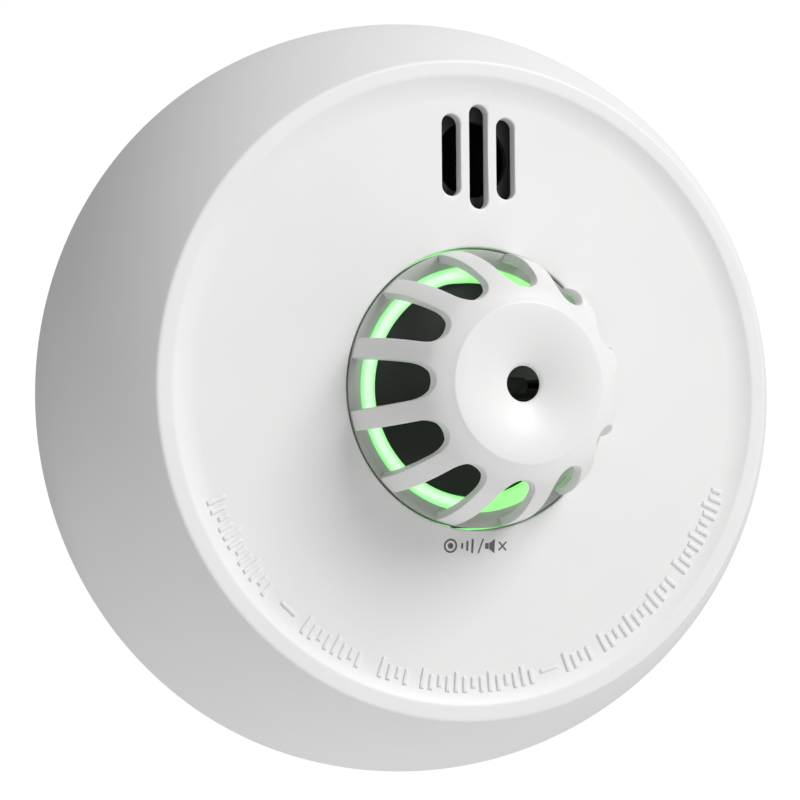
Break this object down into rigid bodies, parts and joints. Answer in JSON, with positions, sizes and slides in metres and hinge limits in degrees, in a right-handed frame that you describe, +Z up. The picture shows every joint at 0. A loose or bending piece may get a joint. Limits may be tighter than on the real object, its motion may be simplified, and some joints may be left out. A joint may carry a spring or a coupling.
{
  "type": "heat alarm",
  "caption": "Round wall or ceiling heat alarm with a ribbed push cage over its sensor bead, a lit ring inside the cage, three sounder slots and a twist-off mounting plate.",
  "frame": {"origin": "centre of the mounting plate's back face, on the wall", "axes": "+Y into the wall, +Z up towards the sounder slots, +X to the right as seen from the wall's front side"},
  "size_m": [0.116, 0.0486, 0.116],
  "materials": {
    "white_plastic": "fine satin moulding",
    "plate_plastic": "satin moulding",
    "black_plastic": "satin moulding",
    "lit_acrylic": "lit green, edge glow",
    "spring_steel": "drawn wire",
    "red_plastic": "smooth moulding",
    "board_laminate": "solder mask over glass laminate",
    "chip_epoxy": "matt epoxy",
    "can_aluminium": "bare can",
    "ferrite": "sintered ferrite",
    "light_chip": "clear lens over a green chip",
    "bead_epoxy": "dipped epoxy bead",
    "lead_sleeve": "heat-shrunk sleeve",
    "foam_rubber": "closed-cell foam",
    "disc_brass": "rolled sheet",
    "white_ceramic": "fired ceramic with a silvered face",
    "contact_gold": "gold plated",
    "cell_steel": "nickel-plated can",
    "cell_wrap": "shrink film",
    "tab_nickel": "spot-welded strip",
    "ivory_plastic": "smooth acetal",
    "screw_steel": "zinc plated",
    "label_film": "blank silvered film"
  },
  "bodies": {
    "wall_plate": {"mounting_plate": "plate_plastic"},
    "alarm_head": {"rear_housing": "plate_plastic", "front_cover": "white_plastic", "inner_frame": "black_plastic", "light_guide": "lit_acrylic", "cage_springs": "spring_steel", "test_switch_body": "black_plastic", "circuit_board": "board_laminate", "control_chips": "chip_epoxy", "chip_resistors": "chip_epoxy", "filter_capacitors": "can_aluminium", "sounder_coil": "ferrite", "status_lights": "light_chip", "thermistor_bead": "bead_epoxy", "thermistor_leads": "lead_sleeve", "thermistor_post": "black_plastic", "sounder_horn": "black_plastic", "sounder_gasket": "foam_rubber", "piezo_disc": "disc_brass", "piezo_ceramic": "white_ceramic", "sounder_contacts": "contact_gold", "battery_cell": "cell_steel", "battery_wrap": "cell_wrap", "battery_tabs": "tab_nickel", "power_switch_body": "black_plastic", "housing_screws": "screw_steel", "board_screws": "screw_steel", "rating_label": "label_film"},
    "test_button": {"push_cage": "white_plastic"},
    "switch_stem": {"test_switch_stem": "red_plastic"},
    "power_pin": {"power_plunger": "ivory_plastic"}
  },
  "joints": [
    {"name": "head_twist", "type": "hinge", "parent": "wall_plate", "child": "alarm_head", "pos_m": [0, 0, 0], "axis": [0, -1, 0], "range_deg": [0, 20]},
    {"name": "button_press", "type": "slide", "parent": "alarm_head", "child": "test_button", "axis": [0, 1, 0], "range_m": [0, 0.001], "stiffness_N_per_m": 500, "springref_m": -0.004, "deforming": ["cage_springs"]},
    {"name": "switch_press", "type": "slide", "parent": "alarm_head", "child": "switch_stem", "axis": [0, 1, 0], "range_m": [0, 0.001]},
    {"name": "power_pin_slide", "type": "slide", "parent": "alarm_head", "child": "power_pin", "axis": [0, 1, 0], "range_m": [0, 0.00201]}
  ],
  "couplings": [
    {"joint": "switch_press", "follows": "button_press", "ratio": 1},
    {"joint": "power_pin_slide", "follows": "head_twist", "m_per_rad": 0.0057296}
  ]
}
